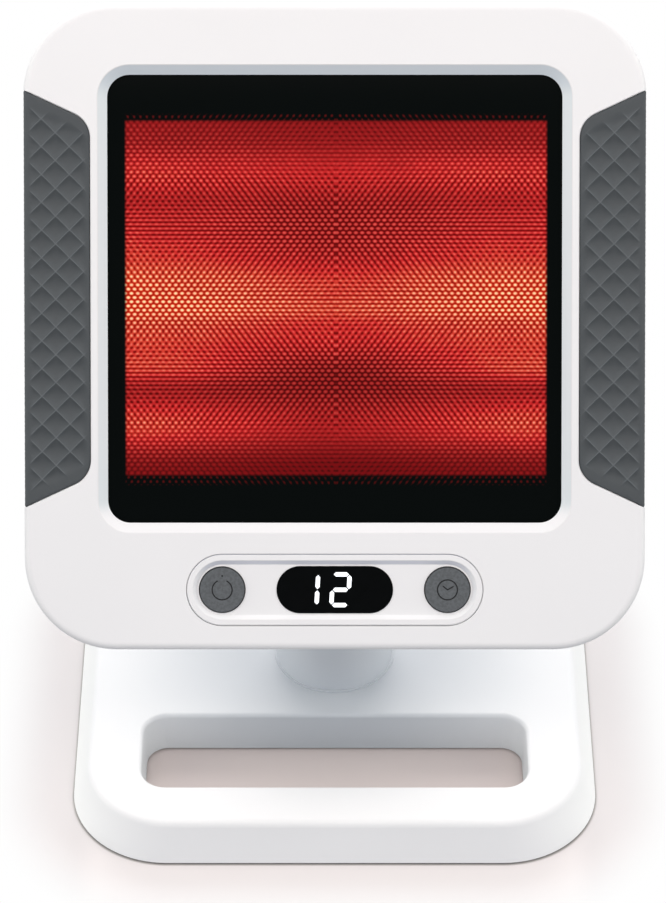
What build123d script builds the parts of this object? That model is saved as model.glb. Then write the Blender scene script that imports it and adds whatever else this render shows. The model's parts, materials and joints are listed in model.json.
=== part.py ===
from build123d import *
import os
from math import atan2, cos, degrees, radians, tan

# An infrared heat lamp: a flat heating head that tilts on a round neck above a
# heavy base with a handle slot. Millimetres, +Z up, the lit face looks to -Y,
# and the lamp stands on z = 0 with its origin under the middle of its outline.

# ---- fits ----
fit_gap = 0.3            # between mouldings and between a moving cap and its hole
screw_gap = 0.05         # between a screw shank and its hole, radius
running_gap = 0.05       # between the hinge axle and its bushings, radius
seam_gap = 0.4           # visible joint line between outer mouldings

# ---- pose of the head ----
front_edge_y = -92.6     # foremost edge of the base
rest_tilt = 38.5         # lean of the head from upright as it stands, degrees
pivot_from_front = 115.0
pivot_height = 158.65
pivot_behind_face = 85.0
pivot_below_centre = 44.5

# ---- head mouldings ----
head_width = 260.0
head_height = 270.0
head_corner = 38.5
face_edge_radius = 3.0
face_wall = 3.4
side_wall = 3.0
frame_depth = 32.0
cover_rim_depth = 4.0
cover_slope_depth = 20.0
cover_wall = 2.8
cover_edge_radius = 12.0
cover_slope_ratio = 0.95  # of the rear cover's slope, inward run over depth
lip_height = 4.0
lip_wall = 2.0

# ---- window ----
window_side_border = 35.0    # white between the head's outline and the window
window_top_border = 29.6
window_bottom_border = 53.2
window_corner = 9.4
bevel_width = 4.2
bevel_depth = 3.0
glass_overlap = 3.5      # glass held behind the window's edge
glass_thickness = 4.0
gasket_thickness = 0.8
gasket_setback = 1.2

# ---- side grips ----
grip_width = 27.7
grip_side_depth = 28.0
grip_thickness = 3.5
grip_end_border = 48.0   # what the grip's half length is short of the head's half height
grip_end_slope = 25.0    # of the grip's ends, degrees
grip_corner = 10.8
grip_backing = 2.5
pocket_chamfer = 0.4

# ---- control strip ----
strip_border = 25.2      # of the strip's middle above the head's lower edge
strip_width = 124.0
strip_height = 29.8
strip_rim = 2.4
strip_slope = 2.0
strip_recess = 1.6
strip_seat_depth = 2.2
strip_seat_width = 3.0
strip_back_depth = 4.2
button_diameter = 19.1
button_spacing = 94.4
button_front = 0.5       # depth of a button's top below the face
button_flange_width = 1.2
button_flange_thickness = 1.0
button_travel = 0.6
button_stem_radius = 2.5
icon_radius = 4.45
icon_stroke = 0.55
icon_depth = 0.35
icon_gap_angle = 26.0    # half the opening at the top of the power ring
display_width = 48.8
display_height = 19.8
display_front = 1.3
display_thickness = 2.0
digit_height = 12.9      # between stroke middles
digit_width = 7.0
digit_stroke = 1.8
digit_gap = 0.6
digit_slant = 3.2
digit_depth = 0.4
tens_place = -10.8
units_place = 2.4
board_depth = 12.0
board_thickness = 1.6
board_width = 116.0
board_height = 25.0
board_post_place = 31.0
board_post_rise = 8.0
board_post_radius = 2.4
small_screw_radius = 1.0
module_width = 40.0
module_height = 17.0
switch_body = 6.0
switch_body_height = 3.5
plunger_radius = 1.7
plunger_height = 1.6

# ---- heater ----
retainer_border = 8.5    # steel ring outside the glass edge
retainer_cover = 5.5     # steel ring inside the glass edge
retainer_thickness = 1.0
retainer_screw_out = 4.5
retainer_screw_radius = 1.25
retainer_boss_radius = 2.8
retainer_screw_spread = 60.0   # of the screws along each side, from its middle
retainer_tail = 1.0      # between a screw's end and the grip pocket
sheet = 0.8
heater_side_inset = 7.0  # of the heater inside the window
heater_end_inset = 16.6
reflector_depth = 24.0
reflector_floor_height = 96.0
shield_side_gap = 10.0
shield_depth = 33.0
shield_corner = 8.0
shield_vent_rows = 7
shield_vent_pitch = 3.0
shield_vent_drop = 12.0
shield_vent_length = 120.0
tube_radius = 5.0
tube_glass = 1.2         # wall of the quartz tube
tube_depth_in_reflector = 12.0
tube_socket = 6.0
filament_radius = 1.2
holder_size = 16.0
cutout_radius = 8.0
cutout_height = 5.0
cutout_flange = (26.0, 9.0)
cutout_tab = (1.0, 5.0, 3.0)
cutout_inset = (36.0, 53.0)   # from the heat shield's edge at the side and below

# ---- rear electronics ----
power_board_width = 92.0
power_board_height = 36.0
power_board_border = 35.0    # of its middle above the head's lower edge
power_board_depth = 41.0
relay_size = (20.0, 15.0, 16.0)
transformer_size = (27.0, 22.0, 18.0)
winding_size = (17.0, 28.0, 13.0)
board_screw_radius = 1.25
board_screw_length = 8.0
board_screw_inset = 5.0
relay_place = -24.0
transformer_place = 14.0

# ---- rear cover details ----
vent_length = 38.0
vent_height = 3.4
vent_pitch = 8.0
vent_columns = 3
vent_bar = 8.0
upper_vent_rows = 5
lower_vent_rows = 2
upper_vent_border = 53.0
case_boss_radius = 4.5
case_boss_side = 16.0    # of a boss inside the head's outline
case_boss_end = 27.0
case_boss_middle = 12.0
case_screw_seat = 40.0
case_screw_radius = 1.45
case_screw_length = 24.0

# ---- hinge ----
axle_radius = 4.0
bushing_wall = 1.5
barrel_radius = 15.0
barrel_half = 18.7
friction_disc_thickness = 1.2
ear_gap = 0.4
ear_radius = 17.0
ear_thickness = 10.0
ear_pocket_radius = 11.0
ear_pocket_depth = 7.0
ear_root_half = 22.0
yoke_plate_width = 80.0
yoke_plate_height = 50.0
yoke_plate_thickness = 4.0
yoke_plate_corner = 8.0
yoke_plate_edge_radius = 1.5
backing_plate_thickness = 2.0
yoke_screw_place = (33.0, 18.0)
yoke_screw_radius = 2.0
axle_head_radius = 7.0
axle_head_height = 3.4
nut_across_corners = 14.0
nut_height = 3.2
spring_washer_thickness = 0.8
cap_thickness = 1.6

# ---- base ----
base_width = 237.0
base_depth = 190.0
base_corner = 43.5
base_lift = 1.0          # base rim above the table
base_top = 21.0
base_draft = 15.3        # lean of the base's front and rear walls, degrees
base_side_draft = 21.0
base_wall = 2.6
base_edge_radius = 3.2
base_plate_thickness = 2.5
slot_centre_from_front = 50.45
slot_width = 172.0       # at the underside
slot_depth = 42.1
slot_corner = 10.0
slot_draft = 3.6
slot_edge_radius = 1.8
foot_radius = 7.0
foot_height = 2.0
foot_edge_radius = 0.6
base_boss_radius = 5.0
base_screw_radius = 1.5
base_screw_length = 12.0
base_screw_head_radius = 2.8
base_screw_front_x = 40.0
base_screw_side_y = 62.0
base_screw_rear_inset = (18.5, 52.0)
base_screw_back = (45.0, 17.0)
foot_front_inset = 38.5
foot_rear_inset = (21.5, 29.0)
terminal_from_front = 163.0
terminal_pitch = 11.0
terminal_size = (34.0, 14.0, 10.0)
wire_hole_radius = 1.4
terminal_screw_radius = 2.1

# ---- neck ----
neck_radius = 25.0
neck_wall = 2.5
collar_foot_radius = 27.1
collar_ledge = 0.7       # thin ring round the collar's foot
collar_ledge_height = 0.9
collar_top = 52.0
spigot_depth = 6.0
neck_edge_radius = 9.0
tube_outer = 16.0
tube_wall = 2.0
tube_flange_radius = 32.0
tube_flange_thickness = 4.0
tube_screw_place = 17.0
tube_screw_radius = 2.0
knuckle_shoulder_drop = 30.0
knuckle_spigot_length = 26.0
knuckle_depth = 28.0
knuckle_corner = 6.0
neck_cover_drop = 24.0
wire_way_radius = 5.0

# ---- cord entry ----
cord_radius = 3.4
grommet_radius = 5.2
grommet_flange_radius = 7.0
grommet_flange_thickness = 1.6
grommet_stand_out = 2.0

# ---- worked-out places ----
pivot_y = front_edge_y + pivot_from_front
base_middle_y = front_edge_y + base_depth / 2
window_width = head_width - 2 * window_side_border
window_height = head_height - window_top_border - window_bottom_border
window_rise = (window_bottom_border - window_top_border) / 2
grip_end_half = head_height / 2 - grip_end_border
strip_drop = head_height / 2 - strip_border
heater_half_width = window_width / 2 - heater_side_inset
heater_height = window_height - 2 * heater_end_inset
cutout_place = (heater_half_width + shield_side_gap - cutout_inset[0],
                heater_height / 2 + shield_side_gap - cutout_inset[1])
power_board_drop = head_height / 2 - power_board_border
upper_vent_rise = head_height / 2 - upper_vent_border
front_bar = slot_centre_from_front - slot_depth / 2
front_bar_middle = front_bar / 2 + base_wall / 2
side_bar_middle = (slot_width + base_width) / 4
cover_start = frame_depth + seam_gap
cover_back = cover_start + cover_rim_depth + cover_slope_depth
gasket_front = face_wall
glass_front = gasket_front + gasket_thickness
glass_back = glass_front + glass_thickness
glass_width = window_width + 2 * glass_overlap
glass_height = window_height + 2 * glass_overlap
retainer_back = glass_back + retainer_thickness
shield_flange_back = retainer_back + sheet
shield_back = shield_flange_back + shield_depth
strip_floor_inset = strip_rim + strip_slope
draft_slope = tan(radians(base_draft))
side_slope = tan(radians(base_side_draft))
plate_top = base_lift + base_plate_thickness
ceiling = base_top - base_wall
grommet_height = (plate_top + ceiling) / 2
retainer_screw_x = glass_width / 2 + retainer_screw_out
retainer_screw_h = glass_height / 2 + retainer_screw_out
tube_middle_depth = retainer_back + tube_depth_in_reflector
case_screw_end = case_screw_seat - case_screw_length
retainer_screw_end = grip_thickness + fit_gap + retainer_tail
lip_inset = grip_thickness + fit_gap + grip_backing + fit_gap
bushing_radius = axle_radius + running_gap + bushing_wall
ear_inner = barrel_half + friction_disc_thickness + ear_gap
ear_outer = ear_inner + ear_thickness
plunger_top = board_depth - switch_body_height - plunger_height
button_flange_front = strip_back_depth + fit_gap
button_back = button_flange_front + button_flange_thickness
yoke_screw_end = cover_back + yoke_plate_thickness - 1


def four_places(x, y):
    return [(side * x, row * y) for side in (-1, 1) for row in (-1, 1)]


def both_sides(places):
    return [(side * x, y) for side in (-1, 1) for (x, y) in places]


side_screws = four_places(retainer_screw_x, retainer_screw_spread)
end_screws = four_places(retainer_screw_spread, retainer_screw_h)
retainer_screw_places = [(x, window_rise + height) for (x, height) in side_screws + end_screws]
board_screw_places = [(x, rise - strip_drop) for (x, rise) in four_places(board_post_place, board_post_rise)]
case_boss_x = head_width / 2 - case_boss_side
case_boss_places = four_places(case_boss_x, head_height / 2 - case_boss_end)
case_boss_places += both_sides([(case_boss_x, case_boss_middle)])
front_foot = (base_width / 2 - foot_front_inset, front_bar_middle)
rear_foot = (base_width / 2 - foot_rear_inset[0], base_depth - foot_rear_inset[1])
foot_places = both_sides([front_foot, rear_foot])
front_screw = (base_screw_front_x, front_bar_middle)
side_screw = (side_bar_middle, base_screw_side_y)
rear_screw = (base_width / 2 - base_screw_rear_inset[0], base_depth - base_screw_rear_inset[1])
back_screw = (base_screw_back[0], base_depth - base_screw_back[1])
base_screw_places = both_sides([front_screw, side_screw, rear_screw, back_screw])
tube_screw_places = four_places(tube_screw_place, tube_screw_place)

pivot_to_face = Pos(0, -pivot_behind_face, pivot_below_centre)
to_rest = Pos(0, pivot_y, pivot_height) * Rot(-rest_tilt, 0, 0) * pivot_to_face


# ---- shared shapes; the head is drawn upright with its face in the plane y = 0 ----
def face_plane(depth):
    return Plane(origin=(0, depth, 0), x_dir=(1, 0, 0), z_dir=(0, -1, 0))


def slab(sketch, front, back):
    return extrude(face_plane(back) * sketch, back - front)


def funnel(front_sketch, front, back_sketch, back):
    return loft([face_plane(back) * back_sketch, face_plane(front) * front_sketch], ruled=True)


def rod(x, height, radius, front, back):
    return slab(Pos(x, height) * Circle(radius), front, back)


def block(x, height, width, tall, front, back):
    return slab(Pos(x, height) * Rectangle(width, tall), front, back)


def stadium(width, height):
    return SlotOverall(width, height)


def x_rod(x_start, x_end, y, z, radius):
    plane = Plane(origin=(x_start, y, z), x_dir=(0, 1, 0), z_dir=(1, 0, 0))
    return extrude(plane * Circle(radius), x_end - x_start)


def z_rod(x, y, radius, bottom, top):
    return extrude(Pos(x, y, bottom) * Circle(radius), top - bottom)


def plan_point(x, from_front):
    return (x, front_edge_y + from_front)


def head_outline(inset):
    return RectangleRounded(head_width - 2 * inset, head_height - 2 * inset, head_corner - inset)


def window_outline(growth):
    width = window_width + 2 * growth
    height = window_height + 2 * growth
    return Pos(0, window_rise) * RectangleRounded(width, height, window_corner + growth)


def fastener(x, height, head_radius, head_front, head_back, shank_radius, shank_end):
    head = rod(x, height, head_radius, head_front, head_back)
    shank_span = sorted((head_front, shank_end))
    shank = rod(x, height, shank_radius, shank_span[0], shank_span[1])
    recess = block(x, height, head_radius, head_radius / 3, head_back - 0.8, head_back)
    recess += block(x, height, head_radius / 3, head_radius, head_back - 0.8, head_back)
    return head + shank - recess


# ---- grips ----
def grip_outline(side, growth):
    inner = head_width / 2 - grip_width - growth
    outer = head_width / 2 + head_corner / 4
    slope = tan(radians(grip_end_slope))
    growth_on_slope = growth / cos(radians(grip_end_slope))
    outer_half = grip_end_half + growth_on_slope + slope * (outer - head_width / 2)
    inner_half = outer_half - slope * (outer - inner)
    points = [(outer, outer_half), (inner, inner_half), (inner, -inner_half), (outer, -outer_half)]
    points = [(side * x, y) for (x, y) in points]
    shape = make_face(Polyline(*points, close=True))
    corners = [v for v in shape.vertices() if abs(v.X) < head_width / 2]
    return Pos(0, window_rise) * fillet(corners, grip_corner + growth)


def face_block(depth):
    body = slab(head_outline(0), 0, depth)
    front_edges = body.faces().sort_by(Axis.Y)[0].edges()
    return fillet(front_edges, face_edge_radius)


def grip(side):
    prism = slab(grip_outline(side, 0), -1, grip_side_depth)
    inner = slab(head_outline(grip_thickness), grip_thickness, grip_side_depth + 1)
    return (face_block(frame_depth) & prism) - inner


# ---- head front ----
def front_frame():
    cavity = slab(head_outline(side_wall), face_wall, frame_depth + 1)
    body = face_block(frame_depth) - cavity
    boss_back = frame_depth - lip_height - fit_gap
    for (x, height) in case_boss_places:
        body += rod(x, height, case_boss_radius, face_wall, boss_back)
    for (x, height) in retainer_screw_places:
        body += rod(x, height, retainer_boss_radius, face_wall, glass_back)
    for side in (-1, 1):
        backing = slab(grip_outline(side, grip_backing), 0, grip_side_depth + grip_backing)
        core_inset = grip_thickness + fit_gap + grip_backing
        core = slab(head_outline(core_inset), core_inset, frame_depth + 1)
        body += (face_block(frame_depth) & backing) - core
        pocket = slab(grip_outline(side, fit_gap), -1, grip_side_depth + fit_gap)
        pocket_inset = grip_thickness + fit_gap
        body -= pocket - slab(head_outline(pocket_inset), pocket_inset, frame_depth + 1)
        chamfer_mouth = grip_outline(side, fit_gap + pocket_chamfer)
        body -= funnel(chamfer_mouth, 0, grip_outline(side, fit_gap), pocket_chamfer)
    for (x, height) in case_boss_places:
        body -= rod(x, height, case_screw_radius + screw_gap, case_screw_end - 1, frame_depth)
    for (x, height) in retainer_screw_places:
        body -= rod(x, height, retainer_screw_radius + screw_gap, retainer_screw_end - 0.3, glass_back + 1)
    body -= funnel(window_outline(bevel_width), 0, window_outline(0), bevel_depth)
    body -= slab(window_outline(0), 0, face_wall + 1)
    body -= slab(strip_stadium(-fit_gap), -1, strip_seat_depth)
    return body - slab(strip_stadium(strip_seat_width), 0, face_wall + 1)


def glass_gasket():
    ring = window_outline(glass_overlap - fit_gap) - window_outline(gasket_setback)
    return slab(ring, gasket_front, glass_front)


def glass_panel():
    body = slab(window_outline(glass_overlap), glass_front, glass_back)
    return chamfer(body.faces().sort_by(Axis.Y)[0].edges(), 0.4)


def retainer_ring():
    outer = window_outline(glass_overlap + retainer_border)
    return outer - window_outline(glass_overlap - retainer_cover)


def glass_retainer():
    body = slab(retainer_ring(), glass_back, retainer_back)
    for (x, height) in retainer_screw_places:
        body -= rod(x, height, retainer_screw_radius + screw_gap, glass_back - 1, retainer_back + 1)
    return body


def retainer_screws():
    screws = []
    for (x, height) in retainer_screw_places:
        screws.append(fastener(x, height, 2.5, shield_flange_back, shield_flange_back + 1.8,
                               retainer_screw_radius, retainer_screw_end))
    return Compound(children=screws)


# ---- heater ----
def tube_rod(x_start, x_end, radius):
    return x_rod(x_start, x_end, tube_middle_depth, window_rise, radius)


def reflector_section(inset):
    opening = Rectangle(2 * (heater_half_width - inset), heater_height - 2 * inset)
    floor = Rectangle(2 * (heater_half_width - inset), reflector_floor_height - 2 * inset)
    return (Pos(0, window_rise) * opening, Pos(0, window_rise) * floor)


def reflector():
    front = retainer_back
    back = front + reflector_depth
    outer = funnel(reflector_section(-sheet)[0], front, reflector_section(-sheet)[1], back)
    inner = funnel(reflector_section(0)[0], front, reflector_section(0)[1], back - sheet)
    flange_width = 2 * (heater_half_width + shield_side_gap - fit_gap)
    flange_height = heater_height + 2 * (shield_side_gap - sheet - fit_gap)
    flange = Pos(0, window_rise) * RectangleRounded(flange_width, flange_height, shield_corner - sheet)
    body = outer + slab(flange, front, front + sheet) - inner
    reach = heater_half_width + sheet + 1
    return body - tube_rod(-reach, reach, tube_radius + fit_gap)


def shield_outline(inset):
    half_width = heater_half_width + shield_side_gap + sheet - inset
    half_height = heater_height / 2 + shield_side_gap - inset
    return Pos(0, window_rise) * RectangleRounded(2 * half_width, 2 * half_height, shield_corner - inset)


def heat_shield():
    body = slab(retainer_ring(), retainer_back, shield_flange_back)
    filled = Pos(0, window_rise) * Rectangle(window_width, window_height)
    body += slab(filled, retainer_back, shield_flange_back)
    body += slab(shield_outline(0), retainer_back, shield_back)
    body -= slab(shield_outline(sheet), retainer_back - 1, shield_back - sheet)
    for (x, height) in retainer_screw_places:
        body -= rod(x, height, retainer_screw_radius + screw_gap, retainer_back - 1, shield_flange_back + 1)
    for row in range(shield_vent_rows):
        height = window_rise + heater_height / 2 - shield_vent_drop - row * shield_vent_pitch
        body -= block(0, height, shield_vent_length, 1.2, shield_back - 2, shield_back + 1)
    return body


def heater_tube():
    reach = heater_half_width + sheet + tube_socket
    body = tube_rod(-reach, reach, tube_radius)
    return body - tube_rod(-reach - 1, reach + 1, tube_radius - tube_glass)


def heater_filament():
    reach = heater_half_width + sheet + tube_socket + 1
    return tube_rod(-reach, reach, filament_radius)


def tube_holder(side):
    start = heater_half_width + sheet
    end = heater_half_width + shield_side_gap
    middle = side * (start + end) / 2
    body = Pos(middle, tube_middle_depth, window_rise) * Box(end - start, holder_size, holder_size)
    body = fillet(body.edges().filter_by(Axis.X), 2)
    socket_end = start + tube_socket + 0.1
    socket = tube_rod(side * (start - 1), side * socket_end, tube_radius + screw_gap)
    return body - socket - tube_rod(side * start, side * (end + 1), filament_radius + screw_gap)


def tube_holders():
    return Compound(children=[tube_holder(-1), tube_holder(1)])


def thermal_cutout():
    x = cutout_place[0]
    height = window_rise - cutout_place[1]
    flange = slab(Pos(x, height) * stadium(*cutout_flange), shield_back, shield_back + sheet)
    can = rod(x, height, cutout_radius, shield_back + sheet, shield_back + cutout_height)
    body = flange + can
    can_back = shield_back + cutout_height
    width, tall, reach = cutout_tab
    for side in (-1, 1):
        body += block(x + side * cutout_radius / 2, height, width, tall, can_back, can_back + reach)
    return body


# ---- control strip ----
def strip_stadium(inset):
    return Pos(0, -strip_drop) * stadium(strip_width - 2 * inset, strip_height - 2 * inset)


def control_strip():
    plug = strip_stadium(strip_seat_width + fit_gap)
    body = slab(strip_stadium(0), 0, strip_seat_depth) + slab(plug, strip_seat_depth, strip_back_depth)
    body = chamfer(body.faces().sort_by(Axis.Y)[0].edges(), 0.4)
    body -= funnel(strip_stadium(strip_rim), 0, strip_stadium(strip_floor_inset), strip_recess)
    hole_radius = button_diameter / 2 + fit_gap
    for side in (-1, 1):
        body -= rod(side * button_spacing / 2, -strip_drop, hole_radius, 0, strip_back_depth + 1)
    for (x, height) in board_screw_places:
        body += rod(x, height, board_post_radius, strip_back_depth, board_depth)
        body -= rod(x, height, small_screw_radius + screw_gap, strip_back_depth + 2, board_depth + 1)
    opening = Pos(0, -strip_drop) * stadium(display_width + 2 * screw_gap, display_height + 2 * screw_gap)
    return body - slab(opening, 0, strip_back_depth + 1)


def icon_ring(gap_half_angle):
    ring = Circle(icon_radius) - Circle(icon_radius - icon_stroke)
    if gap_half_angle > 0:
        reach = 2 * icon_radius
        spread = reach * tan(radians(gap_half_angle))
        ring -= make_face(Polyline((0, 0), (-spread, reach), (spread, reach), close=True))
    return ring


def power_icon():
    return icon_ring(icon_gap_angle) + Pos(0, icon_radius + 1.4) * Circle(icon_stroke * 0.7)


def clock_icon():
    short_hand = Polyline((0, 0), (-1.9, 1.6))
    long_hand = Polyline((0, 0), (2.6, 1.45))
    hands = trace(short_hand, icon_stroke) + trace(long_hand, icon_stroke)
    return icon_ring(0) + hands + Circle(icon_stroke / 2)


def button(side, icon):
    x = side * button_spacing / 2
    body = rod(x, -strip_drop, button_diameter / 2, button_front, button_back)
    body = fillet(body.faces().sort_by(Axis.Y)[0].edges(), 0.5)
    body += rod(x, -strip_drop, button_diameter / 2 + button_flange_width, button_flange_front, button_back)
    body += rod(x, -strip_drop, button_stem_radius, button_back, plunger_top - button_travel - 0.1)
    return body - slab(Pos(x, -strip_drop) * icon, button_front - 1, button_front + icon_depth)


def segment(x_start, y_start, x_end, y_end):
    angle = degrees(atan2(y_end - y_start, x_end - x_start))
    length = ((x_end - x_start) ** 2 + (y_end - y_start) ** 2) ** 0.5 - digit_gap
    half = digit_stroke / 2
    tip = length / 2
    upper = [(-tip, 0), (half - tip, half), (tip - half, half)]
    lower = [(tip, 0), (tip - half, -half), (half - tip, -half)]
    shape = make_face(Polyline(*upper, *lower, close=True))
    return Pos((x_start + x_end) / 2, (y_start + y_end) / 2) * Rot(0, 0, angle) * shape


def digit_segments(place, strokes):
    shapes = []
    lean = tan(radians(digit_slant))
    for (column_a, row_a, column_b, row_b) in strokes:
        height_a = row_a * digit_height / 2
        height_b = row_b * digit_height / 2
        x_a = place + column_a * digit_width / 2 + lean * height_a
        x_b = place + column_b * digit_width / 2 + lean * height_b
        shapes.append(Pos(0, -strip_drop) * segment(x_a, height_a, x_b, height_b))
    return shapes


def all_segments():
    one = digit_segments(tens_place, [(1, 1, 1, 0), (1, 0, 1, -1)])
    upper_two = [(-1, 1, 1, 1), (1, 1, 1, 0), (-1, 0, 1, 0)]
    lower_two = [(-1, 0, -1, -1), (-1, -1, 1, -1)]
    return one + digit_segments(units_place, upper_two + lower_two)


def display_digits():
    solids = [slab(shape, display_front, display_front + digit_depth) for shape in all_segments()]
    return Compound(children=solids)


def display_window():
    outline = Pos(0, -strip_drop) * stadium(display_width, display_height)
    body = slab(outline, display_front, display_front + display_thickness)
    for shape in all_segments():
        body -= slab(shape, display_front - 1, display_front + digit_depth)
    return body


def display_module():
    front = display_front + display_thickness + 0.2
    body = block(0, -strip_drop, module_width, module_height, front, board_depth)
    return chamfer(body.edges().filter_by(Axis.Y), 0.8)


def control_board():
    outline = Pos(0, -strip_drop) * RectangleRounded(board_width, board_height, 3)
    body = slab(outline, board_depth, board_depth + board_thickness)
    hole_radius = small_screw_radius + screw_gap
    for (x, height) in board_screw_places:
        body -= rod(x, height, hole_radius, board_depth - 1, board_depth + board_thickness + 1)
    return body


def board_screws():
    back = board_depth + board_thickness
    screw_end = strip_back_depth + 3
    screws = []
    for (x, height) in board_screw_places:
        screws.append(fastener(x, height, 1.9, back, back + 1.5, small_screw_radius, screw_end))
    return Compound(children=screws)


def push_switches():
    switches = []
    body_front = board_depth - switch_body_height
    for side in (-1, 1):
        x = side * button_spacing / 2
        body = block(x, -strip_drop, switch_body, switch_body, body_front, board_depth)
        body += rod(x, -strip_drop, plunger_radius, plunger_top, body_front)
        switches.append(body)
    return Compound(children=switches)


# ---- head rear ----
def cover_shell(inset):
    start = cover_start
    rim_end = cover_start + cover_rim_depth
    back = cover_back - inset
    slope_end_inset = inset + cover_slope_depth * cover_slope_ratio
    body = slab(head_outline(inset), start, rim_end)
    body += funnel(head_outline(inset), rim_end, head_outline(slope_end_inset), back)
    back_edges = body.faces().sort_by(Axis.Y)[-1].edges()
    body = fillet(back_edges, cover_edge_radius)
    return body


def power_board_posts():
    x = power_board_width / 2 - board_screw_inset
    rise = power_board_height / 2 - board_screw_inset
    return [(px, height - power_board_drop) for (px, height) in four_places(x, rise)]


def yoke_screw_places():
    return [(x, rise - pivot_below_centre) for (x, rise) in four_places(*yoke_screw_place)]


def vent_field(middle_height, rows):
    slots = []
    for column in range(vent_columns):
        x = (column - (vent_columns - 1) / 2) * (vent_length + vent_bar)
        for row in range(rows):
            height = middle_height + (row - (rows - 1) / 2) * vent_pitch
            outline = Pos(x, height) * stadium(vent_length, vent_height)
            slots.append(slab(outline, cover_start + cover_rim_depth + 4, cover_back + 1))
    return slots


def rear_cover():
    outer = cover_shell(0)
    inner = cover_shell(cover_wall)
    body = outer - inner
    lip = head_outline(lip_inset) - head_outline(lip_inset + lip_wall)
    body += slab(lip, frame_depth - lip_height, cover_start)
    web = head_outline(cover_wall / 2) - head_outline(lip_inset + lip_wall)
    body += slab(web, cover_start, cover_start + lip_wall)
    for (x, height) in case_boss_places:
        boss = rod(x, height, case_boss_radius + 1, frame_depth - lip_height, cover_back)
        body += boss & (outer + slab(head_outline(lip_inset), 0, cover_start))
    for (x, height) in power_board_posts():
        body += rod(x, height, 3, power_board_depth + board_thickness, cover_back) & outer
    for (x, height) in case_boss_places:
        body -= rod(x, height, 3.4, case_screw_seat, cover_back + 1)
        body -= rod(x, height, case_screw_radius + screw_gap, 0, cover_back)
    for (x, height) in power_board_posts():
        body -= rod(x, height, board_screw_radius + screw_gap, 0, power_board_depth + board_screw_length + 1)
    for (x, height) in yoke_screw_places():
        body -= rod(x, height, yoke_screw_radius + screw_gap, cover_start, cover_back + 1)
    body -= vent_field(upper_vent_rise, upper_vent_rows)
    return body - vent_field(-power_board_drop, lower_vent_rows)


def case_screws():
    screws = []
    for (x, height) in case_boss_places:
        screws.append(fastener(x, height, 3.0, case_screw_seat, case_screw_seat + 2.4,
                               case_screw_radius, case_screw_end))
    return Compound(children=screws)


def power_board():
    outline = Pos(0, -power_board_drop) * RectangleRounded(power_board_width, power_board_height, 2)
    body = slab(outline, power_board_depth, power_board_depth + board_thickness)
    for (x, height) in power_board_posts():
        body -= rod(x, height, board_screw_radius + screw_gap, 0, cover_back)
    return body


def power_board_screws():
    screws = []
    for (x, height) in power_board_posts():
        head = rod(x, height, 2.4, power_board_depth - 1.8, power_board_depth)
        shank_end = power_board_depth + board_screw_length
        screws.append(head + rod(x, height, board_screw_radius, power_board_depth, shank_end))
    return Compound(children=screws)


def power_relay():
    width, tall, thick = relay_size
    body = block(relay_place, -power_board_drop, width, tall, power_board_depth - thick, power_board_depth)
    return fillet(body.faces().sort_by(Axis.Y)[0].edges(), 0.8)


def board_transformer():
    width, tall, thick = transformer_size
    front = power_board_depth - thick
    core = block(transformer_place, -power_board_drop, width, tall, front, power_board_depth)
    width, tall, thick = winding_size
    start = front + (transformer_size[2] - thick) / 2
    winding = block(transformer_place, -power_board_drop, width, tall, start, start + thick)
    return core + fillet(winding.edges().filter_by(Axis.X), 2)


# ---- hinge, head side ----
def ear_profile():
    half = ear_root_half
    root_y = cover_back + 0.5
    root = Polyline((root_y, -half), (root_y, half), (root_y + yoke_plate_thickness, half),
                    (root_y + yoke_plate_thickness, -half), close=True)
    ring = Pos(pivot_behind_face, 0) * CenterArc((0, 0), ear_radius, 0, 360)
    return make_hull(root.edges() + ring.edges())


def hinge_yoke():
    plate = block(0, -pivot_below_centre, yoke_plate_width, yoke_plate_height, cover_back,
                  cover_back + yoke_plate_thickness)
    plate = fillet(plate.edges().filter_by(Axis.Y), yoke_plate_corner)
    plate = fillet(plate.faces().sort_by(Axis.Y)[-1].edges(), yoke_plate_edge_radius)
    body = plate
    for side in (-1, 1):
        start = ear_inner if side > 0 else -ear_outer
        profile_plane = Plane(origin=(start, 0, -pivot_below_centre), x_dir=(0, 1, 0), z_dir=(1, 0, 0))
        ear = extrude(profile_plane * ear_profile(), ear_thickness)
        outer_face = ear.faces().sort_by(Axis.X)[-1 if side > 0 else 0]
        ear = fillet(outer_face.edges(), 2)
        pocket_inner = side * (ear_outer - ear_pocket_depth)
        pocket_outer = side * (ear_outer + 1)
        ear -= x_rod(pocket_inner, pocket_outer, pivot_behind_face, -pivot_below_centre, ear_pocket_radius)
        body += ear
    reach = ear_outer + 1
    body -= x_rod(-reach, reach, pivot_behind_face, -pivot_below_centre, axle_radius + screw_gap)
    for (x, height) in yoke_screw_places():
        body -= rod(x, height, yoke_screw_radius + screw_gap, cover_back - 1, yoke_screw_end + 0.2)
    return body


def hinge_backing_plate():
    front = cover_back - cover_wall - backing_plate_thickness
    outline = Pos(0, -pivot_below_centre) * RectangleRounded(yoke_plate_width, yoke_plate_height, 4)
    body = slab(outline, front, cover_back - cover_wall)
    for (x, height) in yoke_screw_places():
        body -= rod(x, height, yoke_screw_radius + screw_gap, front - 1, cover_back)
    return body


def yoke_screws():
    front = cover_back - cover_wall - backing_plate_thickness
    screws = []
    for (x, height) in yoke_screw_places():
        head = rod(x, height, 3.6, front - 2.6, front)
        head -= rod(x, height, 1.6, front - 3, front - 1.2)
        screws.append(head + rod(x, height, yoke_screw_radius, front, yoke_screw_end))
    return Compound(children=screws)


def pivot_rod(x_start, x_end, radius):
    return x_rod(x_start, x_end, pivot_behind_face, -pivot_below_centre, radius)


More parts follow.
